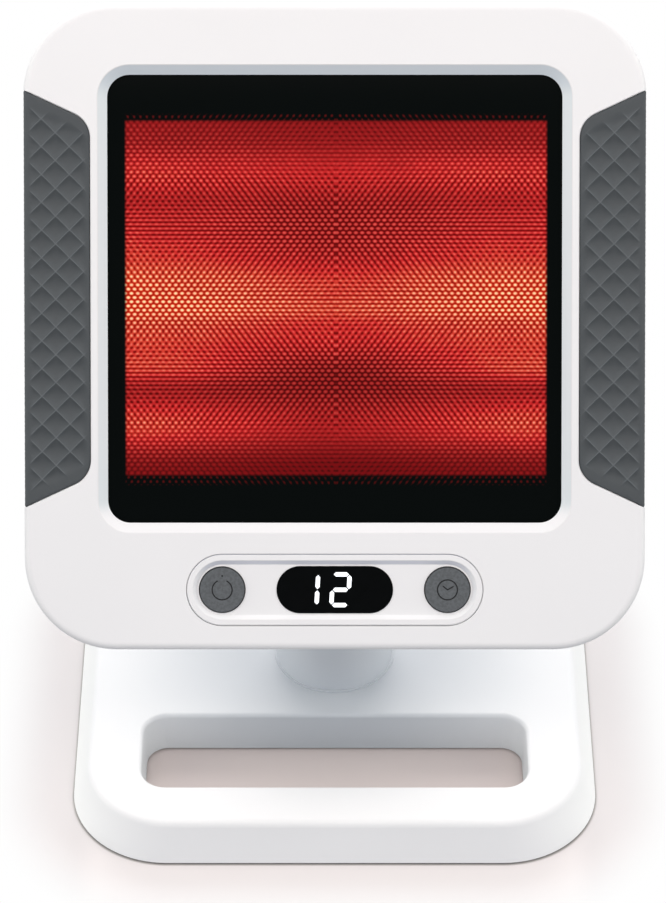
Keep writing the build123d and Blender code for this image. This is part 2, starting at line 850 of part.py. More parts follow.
def hinge_axle():
    web_outer = ear_outer - ear_pocket_depth
    body = pivot_rod(-web_outer, web_outer + 2 * spring_washer_thickness + nut_height + 0.3, axle_radius)
    head = pivot_rod(-web_outer - axle_head_height, -web_outer, axle_head_radius)
    return body + chamfer(head.faces().sort_by(Axis.X)[0].edges(), 0.6)


def spring_washers():
    start = ear_outer - ear_pocket_depth
    washers = []
    for index in range(2):
        washer_start = start + index * spring_washer_thickness
        ring = pivot_rod(washer_start, washer_start + spring_washer_thickness, axle_head_radius)
        washers.append(ring - pivot_rod(start - 1, ear_outer, axle_radius + screw_gap))
    return Compound(children=washers)


def axle_nut():
    start = ear_outer - ear_pocket_depth + 2 * spring_washer_thickness
    plane = Plane(origin=(start, pivot_behind_face, -pivot_below_centre), x_dir=(0, 1, 0), z_dir=(1, 0, 0))
    body = extrude(plane * RegularPolygon(nut_across_corners / 2, 6), nut_height)
    return body - pivot_rod(start - 1, start + nut_height + 1, axle_radius + screw_gap)


def hinge_caps():
    caps = []
    for side in (-1, 1):
        cap = pivot_rod(side * (ear_outer - cap_thickness), side * ear_outer, ear_pocket_radius - screw_gap)
        caps.append(cap)
    return Compound(children=caps)


# ---- hinge, neck side, drawn in place ----
def knuckle_outline(growth):
    width = 2 * (barrel_half - 0.8 + growth)
    return RectangleRounded(width, knuckle_depth + 2 * growth, knuckle_corner + growth)


def knuckle():
    shoulder = pivot_height - knuckle_shoulder_drop
    barrel = x_rod(-barrel_half, barrel_half, pivot_y, pivot_height, barrel_radius)
    barrel = chamfer(barrel.edges().filter_by(GeomType.CIRCLE), 0.8)
    stem = extrude(Pos(0, pivot_y, shoulder) * knuckle_outline(0), knuckle_shoulder_drop - barrel_radius / 3)
    spigot_bottom = shoulder - knuckle_spigot_length
    spigot = z_rod(0, pivot_y, tube_outer - tube_wall - screw_gap, spigot_bottom, shoulder)
    body = barrel + stem + spigot
    body -= x_rod(-barrel_half - 1, barrel_half + 1, pivot_y, pivot_height, bushing_radius + screw_gap)
    return body - z_rod(0, pivot_y, wire_way_radius, spigot_bottom - 1, pivot_height - barrel_radius + 1)


def axle_bushings():
    bushings = []
    for side in (-1, 1):
        tube = x_rod(side * 1, side * barrel_half, pivot_y, pivot_height, bushing_radius)
        bore_end = side * (barrel_half + 1)
        bushings.append(tube - x_rod(0, bore_end, pivot_y, pivot_height, axle_radius + running_gap))
    return Compound(children=bushings)


def friction_discs():
    discs = []
    for side in (-1, 1):
        start = side * barrel_half
        end = side * (barrel_half + friction_disc_thickness)
        disc = x_rod(start, end, pivot_y, pivot_height, barrel_radius - 2)
        discs.append(disc - x_rod(start - side, end + side, pivot_y, pivot_height, axle_radius + fit_gap))
    return Compound(children=discs)


def neck_tube():
    bottom = plate_top
    top = pivot_height - knuckle_shoulder_drop
    body = z_rod(0, pivot_y, tube_outer, bottom, top)
    body += z_rod(0, pivot_y, tube_flange_radius, bottom, bottom + tube_flange_thickness)
    body -= z_rod(0, pivot_y, tube_outer - tube_wall, bottom - 1, top + 1)
    flange_top = bottom + tube_flange_thickness
    for (x, y) in tube_screw_places:
        body -= z_rod(x, pivot_y + y, tube_screw_radius + screw_gap, bottom - 1, flange_top + 1)
    return body


def tube_screws():
    seat = plate_top + tube_flange_thickness
    screws = []
    for (x, y) in tube_screw_places:
        head = z_rod(x, pivot_y + y, 3.5, seat, seat + 3)
        head -= extrude(Pos(x, pivot_y + y, seat + 1.4) * RegularPolygon(1.9, 6), 2)
        screws.append(head + z_rod(x, pivot_y + y, tube_screw_radius, base_lift + 0.4, seat))
    return Compound(children=screws)


def neck_cover():
    top = pivot_height - neck_cover_drop
    inner_radius = neck_radius - neck_wall
    body = z_rod(0, pivot_y, neck_radius, collar_top + seam_gap, top)
    body = fillet(body.faces().sort_by(Axis.Z)[-1].edges(), neck_edge_radius)
    hollow = z_rod(0, pivot_y, inner_radius, collar_top, top - neck_wall)
    body -= fillet(hollow.faces().sort_by(Axis.Z)[-1].edges(), neck_edge_radius - neck_wall)
    spigot_top = collar_top + spigot_depth
    spigot = z_rod(0, pivot_y, inner_radius - fit_gap, collar_top - spigot_depth, spigot_top)
    spigot += z_rod(0, pivot_y, inner_radius, collar_top + seam_gap, spigot_top)
    spigot -= z_rod(0, pivot_y, inner_radius - neck_wall, 0, top)
    mouth = Pos(0, pivot_y, top - neck_edge_radius) * knuckle_outline(fit_gap)
    return body + spigot - extrude(mouth, 2 * neck_edge_radius)


# ---- base ----
def base_outline(inset, rise=0):
    side = inset + rise * side_slope
    end = inset + rise * draft_slope
    return RectangleRounded(base_width - 2 * side, base_depth - 2 * end, base_corner - end)


def base_block(inset, top):
    lower = Pos(0, base_middle_y, base_lift) * base_outline(inset)
    rise = top - base_lift
    upper = Pos(0, base_middle_y, top) * base_outline(inset, rise)
    return loft([lower, upper], ruled=True)


def slot_block(growth, bottom, top):
    y = front_edge_y + slot_centre_from_front
    lean = tan(radians(slot_draft))

    def outline(height):
        spread = growth + (height - base_lift) * lean
        return RectangleRounded(slot_width + 2 * spread, slot_depth + 2 * spread, slot_corner + spread)

    return loft([Pos(0, y, bottom) * outline(bottom), Pos(0, y, top) * outline(top)], ruled=True)


def base_housing():
    body = base_block(0, base_top)
    top_edges = body.faces().sort_by(Axis.Z)[-1].edges()
    body = fillet(top_edges, base_edge_radius)
    slot = slot_block(0, base_lift, base_top)
    body -= slot
    top_face = body.faces().filter_by(Axis.Z).sort_by(Axis.Z)[-1]
    body = fillet(top_face.inner_wires()[0].edges(), slot_edge_radius)
    collar_height = collar_top - base_top
    body += Pos(0, pivot_y, base_top + collar_height / 2) * Cone(collar_foot_radius, neck_radius, collar_height)
    ledge_radius = collar_foot_radius + collar_ledge
    body += z_rod(0, pivot_y, ledge_radius, base_top - 1, base_top + collar_ledge_height)
    hollow = base_block(base_wall, ceiling)
    hollow -= slot_block(base_wall, base_lift, base_top)
    body -= hollow
    body -= z_rod(0, pivot_y, neck_radius - neck_wall, base_top - 2 * base_wall, collar_top + 1)
    for (x, from_front) in base_screw_places:
        (px, py) = plan_point(x, from_front)
        body += z_rod(px, py, base_boss_radius, plate_top, base_top - base_wall / 2)
        body -= z_rod(px, py, base_screw_radius + screw_gap, base_lift, base_lift + base_screw_length + 1)
    hole = Plane(origin=(0, base_middle_y, grommet_height), x_dir=(1, 0, 0), z_dir=(0, 1, 0))
    return body - extrude(hole * Circle(grommet_radius + screw_gap), base_depth)


def base_plate():
    outline = base_outline(base_wall + fit_gap, base_plate_thickness)
    body = extrude(Pos(0, base_middle_y, base_lift) * outline, base_plate_thickness)
    slot_hole = slot_block(base_wall + fit_gap, base_lift - 1, base_lift + base_plate_thickness + 1)
    body -= slot_hole
    for (x, from_front) in base_screw_places:
        (px, py) = plan_point(x, from_front)
        body -= z_rod(px, py, base_screw_radius + screw_gap, 0, 2 * plate_top)
        body -= z_rod(px, py, base_screw_head_radius + 0.1, 0, base_lift + 1.2)
    for (x, from_front) in foot_places:
        (px, py) = plan_point(x, from_front)
        body -= z_rod(px, py, foot_radius + screw_gap, 0, foot_height)
    for (x, y) in tube_screw_places:
        body -= z_rod(x, pivot_y + y, tube_screw_radius + screw_gap, 0, 2 * plate_top)
    return body


def base_screws():
    screws = []
    for (x, from_front) in base_screw_places:
        (px, py) = plan_point(x, from_front)
        head = z_rod(px, py, base_screw_head_radius, base_lift + 0.2, base_lift + 1.2)
        head -= extrude(Pos(px, py, base_lift) * Rectangle(3, 0.8), 0.7)
        shank_top = base_lift + base_screw_length
        screws.append(head + z_rod(px, py, base_screw_radius, base_lift + 1.2, shank_top))
    return Compound(children=screws)


def rubber_feet():
    feet = []
    for (x, from_front) in foot_places:
        (px, py) = plan_point(x, from_front)
        foot = z_rod(px, py, foot_radius, 0, foot_height)
        feet.append(fillet(foot.faces().sort_by(Axis.Z)[0].edges(), foot_edge_radius))
    return Compound(children=feet)


def terminal_block():
    bottom = plate_top
    y = front_edge_y + terminal_from_front
    width, deep, tall = terminal_size
    body = Pos(0, y, bottom + tall / 2) * Box(width, deep, tall)
    body = chamfer(body.edges().filter_by(Axis.X), 1)
    well_radius = terminal_screw_radius + screw_gap
    for index in (-1, 0, 1):
        x = index * terminal_pitch
        body -= z_rod(x, y, well_radius, bottom + tall * 0.4, bottom + tall + 1)
        hole_start = (x, y - deep / 2 - 1, bottom + tall * 0.3)
        wire_hole = Plane(origin=hole_start, x_dir=(1, 0, 0), z_dir=(0, 1, 0))
        body -= extrude(wire_hole * Circle(wire_hole_radius), deep + 2)
    return body


def terminal_screws():
    bottom = plate_top
    y = front_edge_y + terminal_from_front
    screws = []
    top = bottom + terminal_size[2] * 0.8
    for index in (-1, 0, 1):
        x = index * terminal_pitch
        screw = z_rod(x, y, terminal_screw_radius, bottom + terminal_size[2] * 0.4 + 0.6, top)
        screws.append(screw - Pos(x, y, top) * Box(2 * terminal_screw_radius + 0.2, 0.8, 1.4))
    return Compound(children=screws)


def cord_grommet():
    wall_y = front_edge_y + base_depth - (grommet_height - base_lift) * draft_slope
    flange_reach = base_wall + grommet_flange_radius * draft_slope + grommet_flange_thickness + fit_gap
    start = wall_y - flange_reach
    plane = Plane(origin=(0, start, grommet_height), x_dir=(1, 0, 0), z_dir=(0, 1, 0))
    body = extrude(plane * Circle(grommet_radius), flange_reach + grommet_stand_out)
    body = fillet(body.faces().sort_by(Axis.Y)[-1].edges(), 0.8)
    body += extrude(plane * Circle(grommet_flange_radius), grommet_flange_thickness)
    return body - extrude(plane * Circle(cord_radius), 2 * base_wall + flange_reach, both=True)


head_pieces = {
    "front_frame": front_frame,
    "rear_cover": rear_cover,
    "grip_left": lambda: grip(-1),
    "grip_right": lambda: grip(1),
    "glass_gasket": glass_gasket,
    "glass_panel": glass_panel,
    "glass_retainer": glass_retainer,
    "retainer_screws": retainer_screws,
    "reflector": reflector,
    "heat_shield": heat_shield,
    "heater_tube": heater_tube,
    "heater_filament": heater_filament,
    "tube_holders": tube_holders,
    "thermal_cutout": thermal_cutout,
    "control_strip": control_strip,
    "power_button": lambda: button(-1, power_icon()),
    "timer_button": lambda: button(1, clock_icon()),
    "display_window": display_window,
    "display_digits": display_digits,
    "display_module": display_module,
    "control_board": control_board,
    "board_screws": board_screws,
    "push_switches": push_switches,
    "case_screws": case_screws,
    "power_board": power_board,
    "power_board_screws": power_board_screws,
    "power_relay": power_relay,
    "board_transformer": board_transformer,
    "hinge_yoke": hinge_yoke,
    "hinge_backing_plate": hinge_backing_plate,
    "yoke_screws": yoke_screws,
    "hinge_axle": hinge_axle,
    "spring_washers": spring_washers,
    "axle_nut": axle_nut,
    "hinge_caps": hinge_caps,
}

base_pieces = {
    "knuckle": knuckle,
    "axle_bushings": axle_bushings,
    "friction_discs": friction_discs,
    "neck_tube": neck_tube,
    "tube_screws": tube_screws,
    "neck_cover": neck_cover,
    "base_housing": base_housing,
    "base_plate": base_plate,
    "base_screws": base_screws,
    "rubber_feet": rubber_feet,
    "terminal_block": terminal_block,
    "terminal_screws": terminal_screws,
    "cord_grommet": cord_grommet,
}

os.makedirs("parts", exist_ok=True)
for (name, make) in head_pieces.items():
    export_step(to_rest * make(), f"parts/{name}.step")
for (name, make) in base_pieces.items():
    export_step(make(), f"parts/{name}.step")
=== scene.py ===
import json
from math import cos, floor, pi, radians, sin, tan

import bmesh
import bpy
from mathutils import Matrix, Vector


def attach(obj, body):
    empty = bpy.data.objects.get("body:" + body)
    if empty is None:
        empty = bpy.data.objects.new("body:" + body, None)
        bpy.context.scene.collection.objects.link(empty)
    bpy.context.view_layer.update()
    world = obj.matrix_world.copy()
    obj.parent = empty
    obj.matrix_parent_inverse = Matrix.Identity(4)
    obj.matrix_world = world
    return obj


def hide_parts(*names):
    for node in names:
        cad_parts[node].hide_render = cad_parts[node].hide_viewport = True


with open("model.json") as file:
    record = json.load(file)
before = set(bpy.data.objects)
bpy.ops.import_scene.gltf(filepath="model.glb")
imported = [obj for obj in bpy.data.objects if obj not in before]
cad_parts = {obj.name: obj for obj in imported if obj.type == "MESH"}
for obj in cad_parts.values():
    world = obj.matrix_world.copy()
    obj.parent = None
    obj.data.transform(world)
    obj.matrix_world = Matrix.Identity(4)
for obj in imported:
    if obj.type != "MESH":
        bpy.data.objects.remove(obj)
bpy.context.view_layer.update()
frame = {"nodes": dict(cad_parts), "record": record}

mm = 0.001

# where the head stands: the same figures as the solids have
head = {
    "tilt": 38.5,  # lean from upright, degrees
    "faceMiddle": (0.0, -16.424, 246.387),  # mm, middle of the front face
    "width": 260.0,
    "windowRise": 11.8,  # of the window's middle above the face's
    "edgeRadius": 3.0,
    "gripThickness": 3.5,
}
lean = radians(head["tilt"])
faceToRest = Matrix.Translation(Vector(head["faceMiddle"]) * mm) @ Matrix.Rotation(-lean, 4, "X")


def startMaterial(name):
    material = bpy.data.materials.new(name)
    material.use_nodes = True
    tree = material.node_tree
    coords = tree.nodes.new("ShaderNodeTexCoord").outputs["Object"]
    return material, tree, tree.nodes["Principled BSDF"], coords


def plug(tree, value, socket):
    if isinstance(value, bpy.types.NodeSocket):
        tree.links.new(value, socket)
    else:
        socket.default_value = value


def calc(tree, operation, *values):
    node = tree.nodes.new("ShaderNodeMath")
    node.operation = operation
    for index, value in enumerate(values):
        plug(tree, value, node.inputs[index])
    return node.outputs[0]


def product(tree, first, *others):
    for value in others:
        first = calc(tree, "MULTIPLY", first, value)
    return first


def smoothRange(tree, value, low, high, lowOut=0.0, highOut=1.0):
    node = tree.nodes.new("ShaderNodeMapRange")
    node.interpolation_type = "SMOOTHSTEP"
    plug(tree, value, node.inputs["Value"])
    for socket, number in zip(("From Min", "From Max", "To Min", "To Max"), (low, high, lowOut, highOut)):
        node.inputs[socket].default_value = number
    return node.outputs["Result"]


def between(tree, value, low, high, inward, outward):  # 1 from low to high, fading at both ends
    return product(tree, smoothRange(tree, value, high - inward, high + outward, 1, 0),
                   smoothRange(tree, value, low - outward, low + inward))


def hump(tree, value, middle, width):  # a bell curve, 1 at its middle
    offset = calc(tree, "DIVIDE", calc(tree, "SUBTRACT", value, middle), width)
    return calc(tree, "EXPONENT", product(tree, offset, offset, -1.0))


def shaded(colour, share):
    return tuple(channel * share for channel in colour)


def mixColours(tree, factor, first, second):
    node = tree.nodes.new("ShaderNodeMix")
    node.data_type = "RGBA"
    plug(tree, factor, node.inputs["Factor"])
    for value, socket in ((first, node.inputs["A"]), (second, node.inputs["B"])):
        plug(tree, (*value, 1.0) if isinstance(value, tuple) else value, socket)
    return node.outputs["Result"]


def noise(tree, coords, scale, detail=2.0, roughness=0.5):
    node = tree.nodes.new("ShaderNodeTexNoise")
    tree.links.new(coords, node.inputs["Vector"])
    node.inputs["Scale"].default_value = scale
    node.inputs["Detail"].default_value = detail
    node.inputs["Roughness"].default_value = roughness
    return node.outputs["Fac"]


def patches(tree, coords, scale, lowOut=0.0, highOut=1.0):  # soft noise, stretched to the full range
    return smoothRange(tree, noise(tree, coords, scale), 0.3, 0.7, lowOut, highOut)


def addBump(tree, shader, height, distance):
    node = tree.nodes.new("ShaderNodeBump")
    node.inputs["Distance"].default_value = distance
    tree.links.new(height, node.inputs["Height"])
    tree.links.new(node.outputs["Normal"], shader.inputs["Normal"])


def faceCoords(tree, coords):  # x across, y depth behind the face, z height from its middle, in mm
    turned = tree.nodes.new("ShaderNodeMapping")
    turned.inputs["Scale"].default_value = (1 / mm, 1 / mm, 1 / mm)
    turned.inputs["Rotation"].default_value = (lean, 0, 0)
    back = Matrix.Rotation(lean, 3, "X") @ Vector(head["faceMiddle"])
    turned.inputs["Location"].default_value = -back
    tree.links.new(coords, turned.inputs["Vector"])
    parts = tree.nodes.new("ShaderNodeSeparateXYZ")
    tree.links.new(turned.outputs["Vector"], parts.inputs["Vector"])
    return parts.outputs["X"], parts.outputs["Y"], parts.outputs["Z"]


def mouldedPlastic(name, look):  # spark-eroded grain and a faint unevenness of tone
    material, tree, shader, coords = startMaterial(name)
    tone = patches(tree, coords, look["cloudScale"])
    dark = shaded(look["colour"], 1 - look["cloud"])
    tree.links.new(mixColours(tree, tone, dark, look["colour"]), shader.inputs["Base Color"])
    shader.inputs["Roughness"].default_value = look["roughness"]
    shader.inputs["Specular IOR Level"].default_value = look["gloss"]
    addBump(tree, shader, noise(tree, coords, look["grainScale"], 3.0, 0.6), look["grain"] * mm)
    return material


whitePlastic = {"colour": (0.925, 0.92, 0.92), "cloud": 0.012, "cloudScale": 18.0, "roughness": 0.42,
                "gloss": 0.35, "grainScale": 1500.0, "grain": 0.012}
# the white column, greyed all over: painted shade from the head above it
shadedColumnPlastic = dict(whitePlastic, colour=(0.66, 0.685, 0.715))
# the base's white, lighter than the head's: painted light; near the column it turns to the column's painted shade
litBasePlastic = dict(whitePlastic, colour=(0.965, 0.965, 0.965), columnY=22.4, shadeReach=(26.0, 106.0))
darkPlastic = {"colour": (0.02, 0.02, 0.021), "cloud": 0.2, "cloudScale": 80.0, "roughness": 0.45,
               "gloss": 0.5, "grainScale": 1200.0, "grain": 0.02}
blackRubber = {"colour": (0.022, 0.022, 0.023), "cloud": 0.25, "cloudScale": 120.0, "roughness": 0.8,
               "gloss": 0.25, "grainScale": 900.0, "grain": 0.05}
nylon = {"colour": (0.22, 0.22, 0.215), "cloud": 0.1, "cloudScale": 90.0, "roughness": 0.5,
         "gloss": 0.4, "grainScale": 900.0, "grain": 0.02}
ceramic = {"colour": (0.80, 0.78, 0.72), "cloud": 0.08, "cloudScale": 70.0, "roughness": 0.6,
           "gloss": 0.4, "grainScale": 1100.0, "grain": 0.04}
coilTape = {"colour": (0.78, 0.50, 0.08), "cloud": 0.15, "cloudScale": 140.0, "roughness": 0.35,
            "gloss": 0.5, "grainScale": 700.0, "grain": 0.03}
powderCoat = {"colour": (0.74, 0.74, 0.74), "cloud": 0.03, "cloudScale": 30.0, "roughness": 0.55,
              "gloss": 0.4, "grainScale": 700.0, "grain": 0.06}


def objectPlace(material):
    return material.node_tree.nodes["Texture Coordinate"].outputs["Object"]


def layColour(material, share, colour):  # lays a colour over part of a finish
    tree = material.node_tree
    socket = tree.nodes["Principled BSDF"].inputs["Base Color"]
    under = socket.links[0].from_socket
    tree.links.new(mixColours(tree, share, under, colour), socket)


def standPlasticShadedAtColumn(name, look, shadeLook):  # painted shade: greyer near the column, under the head
    material = mouldedPlastic(name, look)
    tree = material.node_tree
    place = tree.nodes.new("ShaderNodeVectorMath")
    place.operation = "MULTIPLY_ADD"
    place.inputs[1].default_value = (1 / mm, 1 / mm, 0)
    place.inputs[2].default_value = (0, -look["columnY"], 0)
    tree.links.new(objectPlace(material), place.inputs[0])
    radius = tree.nodes.new("ShaderNodeVectorMath")
    radius.operation = "LENGTH"
    tree.links.new(place.outputs["Vector"], radius.inputs[0])
    close = smoothRange(tree, radius.outputs["Value"], *look["shadeReach"], 1.0, 0.0)
    layColour(material, close, shadeLook["colour"])
    return material


frameSlopeShading = {  # painted shade and painted light on the bezel round the window
    "middle": 11.8,  # mm above the face's middle
    "half": (84.0, 92.0),  # height from there, where the upper and lower slopes start and are full
    "reach": (101.0, 100.0),  # across and up, of the part that holds the slopes
    "fade": 0.5,
    "depth": (0.1, 0.35, 3.0, 3.1),  # behind the face, where the slopes start, are full, fade and end
    "upper": (0.70, 0.765, 0.81),
    "level": (0.795, 0.85, 0.865),
    "lower": (0.98, 0.98, 0.985),
}
stripSlopeShading = {  # painted shade and painted light on the rim of the control strip
    "middle": -108.8,
    "half": (4.0, 11.0),
    "reach": (63.0, 16.0),
    "fade": 0.5,
    "depth": (0.1, 0.3, 1.4, 1.5),
    "upper": (0.735, 0.75, 0.815),
    "level": (0.90, 0.905, 0.915),
    "lower": (0.98, 0.98, 0.985),
}


def slopeShadedPlastic(name, look, slopes):  # painted light on slopes that face up, painted shade on those that face down and on the sides
    material = mouldedPlastic(name, look)
    tree = material.node_tree
    across, depth, height = faceCoords(tree, objectPlace(material))
    height = calc(tree, "SUBTRACT", height, slopes["middle"])
    down = calc(tree, "MULTIPLY", height, -1.0)
    tone = mixColours(tree, smoothRange(tree, height, *slopes["half"]), slopes["level"], slopes["upper"])
    tone = mixColours(tree, smoothRange(tree, down, *slopes["half"]), tone, slopes["lower"])
    start, full, fade, end = slopes["depth"]
    share = product(tree, smoothRange(tree, depth, start, full), smoothRange(tree, depth, fade, end, 1, 0))
    for place, reach in zip((across, height), slopes["reach"]):
        gap = calc(tree, "ABSOLUTE", place)
        share = product(tree, share, smoothRange(tree, gap, reach - slopes["fade"], reach, 1, 0))
    layColour(material, share, tone)
    return material


# the two push buttons; where the icon is cut in, near-black: the icon's own darker colour with painted shade in
# the groove
buttonLook = {
    "colour": (0.121, 0.131, 0.139),
    "cloud": 0.24,
    "cloudScale": 900.0,
    "roughness": 0.55,
    "gloss": 0.3,
    "grainScale": 1400.0,
    "grain": 0.03,
    "iconDepth": (0.52, 0.68),  # mm behind the face, where the icon starts and is full
    "sideDepth": (0.95, 1.05),  # where the button's side starts
    "iconShadeColour": (0.010, 0.011, 0.013),
}


def sunkIcon(name, look):
    material = mouldedPlastic(name, look)
    tree = material.node_tree
    depth = faceCoords(tree, objectPlace(material))[1]
    sunk = smoothRange(tree, depth, *look["iconDepth"])
    top = smoothRange(tree, depth, *look["sideDepth"], 1.0, 0.0)
    # painted shade in the cut-in icon
    layColour(material, product(tree, sunk, top), look["iconShadeColour"])
    return material


zincSteel = {"colour": (0.60, 0.61, 0.63), "roughness": 0.34, "stretch": (1, 1, 0.12), "scale": 900.0}
brightAluminium = {"colour": (0.88, 0.88, 0.89), "roughness": 0.12, "stretch": (0.08, 1, 1), "scale": 500.0}
turnedBrass = {"colour": (0.72, 0.52, 0.24), "roughness": 0.28, "stretch": (0.3, 1, 1), "scale": 1100.0}
metalStreaks = {"dark": 0.82, "smoothest": 0.7, "roughest": 1.3, "height": 0.01}  # shares, and mm


def metalFinish(name, look):  # brushed or turned metal with streaks along one axis
    material, tree, shader, coords = startMaterial(name)
    stretch = tree.nodes.new("ShaderNodeMapping")
    stretch.inputs["Scale"].default_value = look["stretch"]
    tree.links.new(coords, stretch.inputs["Vector"])
    streaks = noise(tree, stretch.outputs["Vector"], look["scale"], 4.0, 0.6)
    dark = shaded(look["colour"], metalStreaks["dark"])
    tree.links.new(mixColours(tree, streaks, dark, look["colour"]), shader.inputs["Base Color"])
    smooth, rough = (look["roughness"] * metalStreaks[end] for end in ("smoothest", "roughest"))
    tree.links.new(smoothRange(tree, streaks, 0.2, 0.8, smooth, rough), shader.inputs["Roughness"])
    shader.inputs["Metallic"].default_value = 1.0
    addBump(tree, shader, streaks, metalStreaks["height"] * mm)
    return material


glow = {
    "middleX": 0.5,  # mm, of the lit part of the panel
    "halfWidth": 87.9,
    "sideFade": 0.7,
    "top": 86.3,
    "bottom": -61.9,
    "endFade": (0.8, 0.6),  # inside and outside of those ends
    "dots": (2.663, 1.80, 0.60),  # printed dots: pitch across, pitch up, share of the light
    "mirrored": (2.62, 1.70, 0.40),  # the same dots seen again in the reflector
    "mirrorShift": 4.0,  # how far up those lie
    "inStep": 75.0,  # mm from the middle, where both prints line up
    "rowShare": 0.55,
    "bodyFrom": (-0.60, 0.20),  # strength of the dots where the dark gaps end
    "sparkFrom": (0.1, 1.1),  # where their bright middles start
    "crispTop": (60.0, 67.0),  # heights between which the dots turn soft
    "crispBottom": (-44.0, -38.0),
    "softShare": 0.60,  # contrast of the dots beyond those
    "evenLevel": 0.1,  # strength that a soft dot keeps
    "bands": (  # of heat: height, width, strength in the middle, extra at the sides
        (84.0, 6.0, 0.02, 0.04),
        (64.1, 11.3, 0.28, 0.07),
        (45.0, 6.7, 0.12, 0.13),
        (35.0, 6.2, 0.11, 0.12),
        (17.3, 12.3, 0.44, 0.42),
        (7.8, 4.5, 0.26, 0.11),
        (-3.3, 10.6, 0.29, 0.17),
        (-16.9, 6.5, 0.0, 0.38),
        (-40.0, 10.6, 0.15, 0.32),
        (-59.0, 8.0, -0.07, 0.03),
    ),
    "background": 0.06,
    "swings": ((45.0, 0.06), (700.0, 0.14)),  # unevenness of the heat: scale, share
    "warm": 0.38,  # heat of the second colour; the third is at 1
    "gapColours": ((0.045, 0.0, 0.0), (0.19, 0.0, 0.0), (0.48, 0.010, 0.0)),
    "bodyColours": ((0.175, 0.0015, 0.003), (0.62, 0.018, 0.0195), (0.94, 0.135, 0.056)),
    "sparkColours": ((0.25, 0.0, 0.001), (1.0, 0.125, 0.10), (1.0, 0.80, 0.44)),
    "dimRows": (-66.0, 89.2),  # faint rows beyond the lit part: from, to
    "dimFade": (0.5, 0.3),
    "dimShare": 0.30,
    "dimFrom": (0.0, 0.9),  # strength of the dots that show there
    "frontDepth": (4.5, 4.7),  # mm behind the face, where the panel's front ends
    "panel": (0.0022, 0.0034, 0.0033),
    "roughness": 0.07,
    "gloss": 0.015,
}


def dotLattice(tree, across, height, look):  # staggered rows of dots, as waves
    pitchAcross, pitchUp, share = look
    acrossWave = calc(tree, "COSINE", calc(tree, "MULTIPLY", across, 2 * pi / pitchAcross))
    stagger = calc(tree, "COSINE", calc(tree, "MULTIPLY", height, pi / pitchUp))
    rows = calc(tree, "COSINE", calc(tree, "MULTIPLY", height, 2 * pi / pitchUp))
    waves = calc(tree, "ADD", product(tree, acrossWave, stagger), product(tree, rows, glow["rowShare"]))
    return product(tree, waves, share)


def crossedDots(tree, sideGap, height):
    stepGap = calc(tree, "SUBTRACT", sideGap, glow["inStep"])
    mirroredHeight = calc(tree, "SUBTRACT", height, glow["mirrorShift"])
    return calc(tree, "ADD", dotLattice(tree, stepGap, height, glow["dots"]),
                dotLattice(tree, stepGap, mirroredHeight, glow["mirrored"]))


def softenedDots(tree, dots, height):  # less contrast near the upper and lower ends
    soft, even = glow["softShare"], glow["evenLevel"]
    contrast = product(tree, smoothRange(tree, height, *glow["crispTop"], 1.0, soft),
                       smoothRange(tree, height, *glow["crispBottom"], soft, 1.0))
    return calc(tree, "ADD", product(tree, calc(tree, "SUBTRACT", dots, even), contrast), even)


def heatPattern(tree, coords, sideGap, height):
    sideShare = smoothRange(tree, sideGap, 0.0, glow["halfWidth"])
    heat = glow["background"]
    for middle, width, strength, extra in glow["bands"]:
        band = calc(tree, "ADD", product(tree, sideShare, extra), strength)
        heat = calc(tree, "ADD", product(tree, hump(tree, height, middle, width), band), heat)
    for scale, swing in glow["swings"]:
        heat = product(tree, heat, patches(tree, coords, scale, 1 - swing, 1 + swing))
    return heat


def heatRamp(tree, heat, colours):
    ramp = tree.nodes.new("ShaderNodeValToRGB")
    tree.links.new(heat, ramp.inputs["Fac"])
    stops = ramp.color_ramp.elements
    stops[0].color = (*colours[0], 1)
    stops[1].color = (*colours[2], 1)
    stops.new(glow["warm"]).color = (*colours[1], 1)
    return ramp.outputs["Color"]


def glowingGlass():
    material, tree, shader, coords = startMaterial("glassGlow")
    across, depth, height = faceCoords(tree, coords)
    sideGap = calc(tree, "ABSOLUTE", calc(tree, "SUBTRACT", across, glow["middleX"]))
    heat = heatPattern(tree, coords, sideGap, height)
    crisp = crossedDots(tree, sideGap, height)
    dots = softenedDots(tree, crisp, height)
    light = heatRamp(tree, heat, glow["gapColours"])
    for start, colours in ((glow["bodyFrom"], glow["bodyColours"]), (glow["sparkFrom"], glow["sparkColours"])):
        light = mixColours(tree, smoothRange(tree, dots, *start), light, heatRamp(tree, heat, colours))
    full = between(tree, height, glow["bottom"], glow["top"], *glow["endFade"])
    dim = product(tree, between(tree, height, *glow["dimRows"], *glow["dimFade"]), glow["dimShare"],
                  smoothRange(tree, crisp, *glow["dimFrom"]))
    edge, fade = glow["halfWidth"], glow["sideFade"]
    inside = smoothRange(tree, sideGap, edge - fade, edge + fade, 1, 0)
    onFront = smoothRange(tree, depth, *glow["frontDepth"], 1, 0)
    lit = product(tree, inside, calc(tree, "MAXIMUM", full, dim), onFront)
    tree.links.new(mixColours(tree, lit, (0.0, 0.0, 0.0), light), shader.inputs["Emission Color"])
    shader.inputs["Emission Strength"].default_value = 1.0
    shader.inputs["Base Color"].default_value = (*glow["panel"], 1)
    shader.inputs["Roughness"].default_value = glow["roughness"]
    shader.inputs["Specular IOR Level"].default_value = glow["gloss"]
    return material


displayLook = {"colours": ((0.002, 0.0024, 0.0026), (0.0034, 0.004, 0.0043)), "smearScale": 220.0,
               "roughness": (0.05, 0.09), "gloss": 0.015}


def displayGlass(name, look):
    material, tree, shader, coords = startMaterial(name)
    smear = noise(tree, coords, look["smearScale"])
    tree.links.new(mixColours(tree, smear, *look["colours"]), shader.inputs["Base Color"])
    tree.links.new(patches(tree, coords, look["smearScale"], *look["roughness"]), shader.inputs["Roughness"])
    shader.inputs["Specular IOR Level"].default_value = look["gloss"]
    return material


